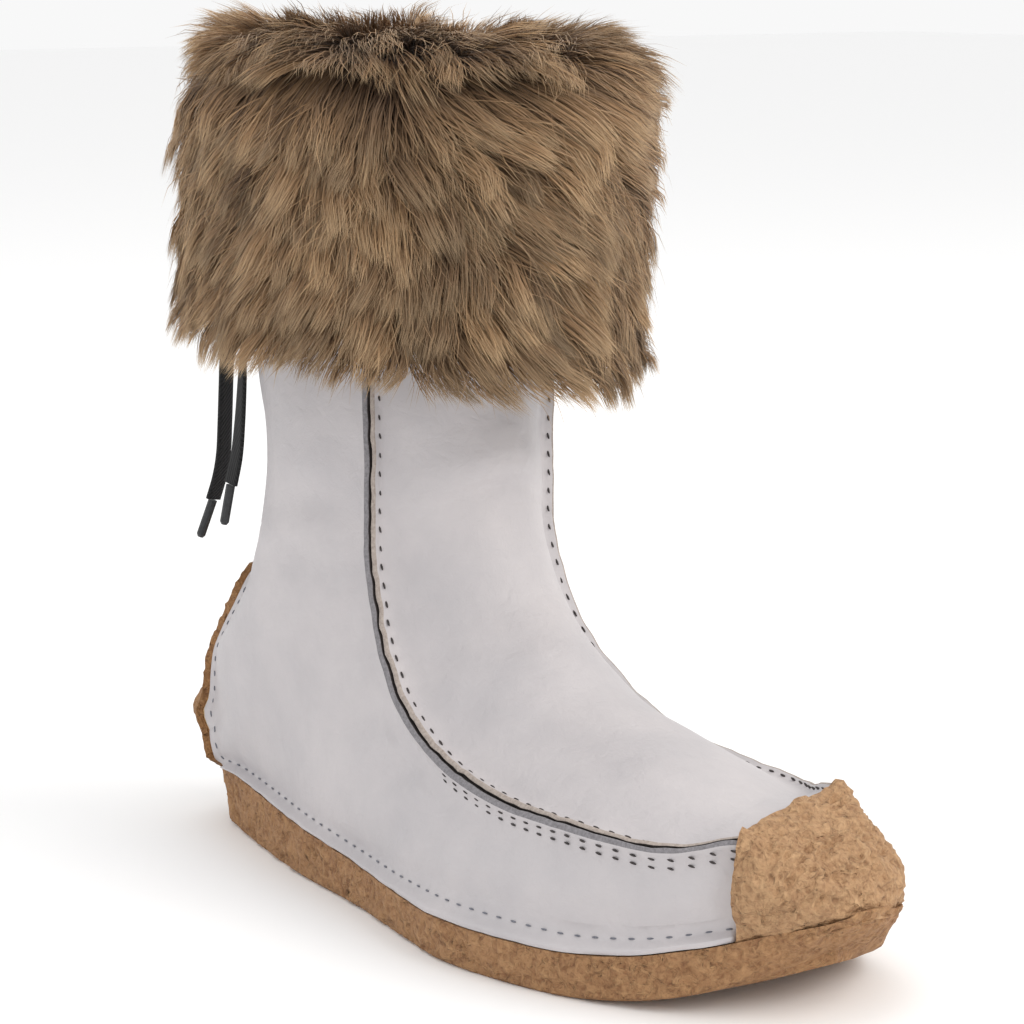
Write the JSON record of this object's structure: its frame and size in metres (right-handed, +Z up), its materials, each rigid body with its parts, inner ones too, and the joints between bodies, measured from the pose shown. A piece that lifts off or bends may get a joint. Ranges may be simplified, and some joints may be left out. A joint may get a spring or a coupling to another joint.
{
  "type": "mukluk boot",
  "caption": "Right mukluk boot: leather upper with raised front seams, crepe wedge sole, toe bumper, heel strip, turned-down fur cuff and hanging lace ends.",
  "frame": {"origin": "on the floor under the middle of the heel, 45 mm in front of the back of the sole", "axes": "+Z up from the floor, -Y towards the toe, -X towards the wearer's right, the outer side of this right boot"},
  "size_m": [0.131, 0.2812, 0.244],
  "materials": {
    "crepe_sole": "brown crepe rubber, crumbly and matte",
    "leather": "pale grey suede-like leather",
    "insole": "plain leather board",
    "crepe_bumper": "honey crepe rubber",
    "crepe_strip": "brown crepe rubber",
    "fur": "deep taupe fur",
    "lace": "flat black woven lace",
    "aglet": "dark sleeve"
  },
  "bodies": {
    "root": {"crepe_outsole": "crepe_sole", "upper": "leather", "insole": "insole", "toe_bumper": "crepe_bumper", "heel_strip": "crepe_strip", "fur_cuff": "fur", "lace_end_rear": "lace", "aglet_rear": "aglet", "lace_end_outer": "lace", "aglet_outer": "aglet"}
  },
  "joints": []
}
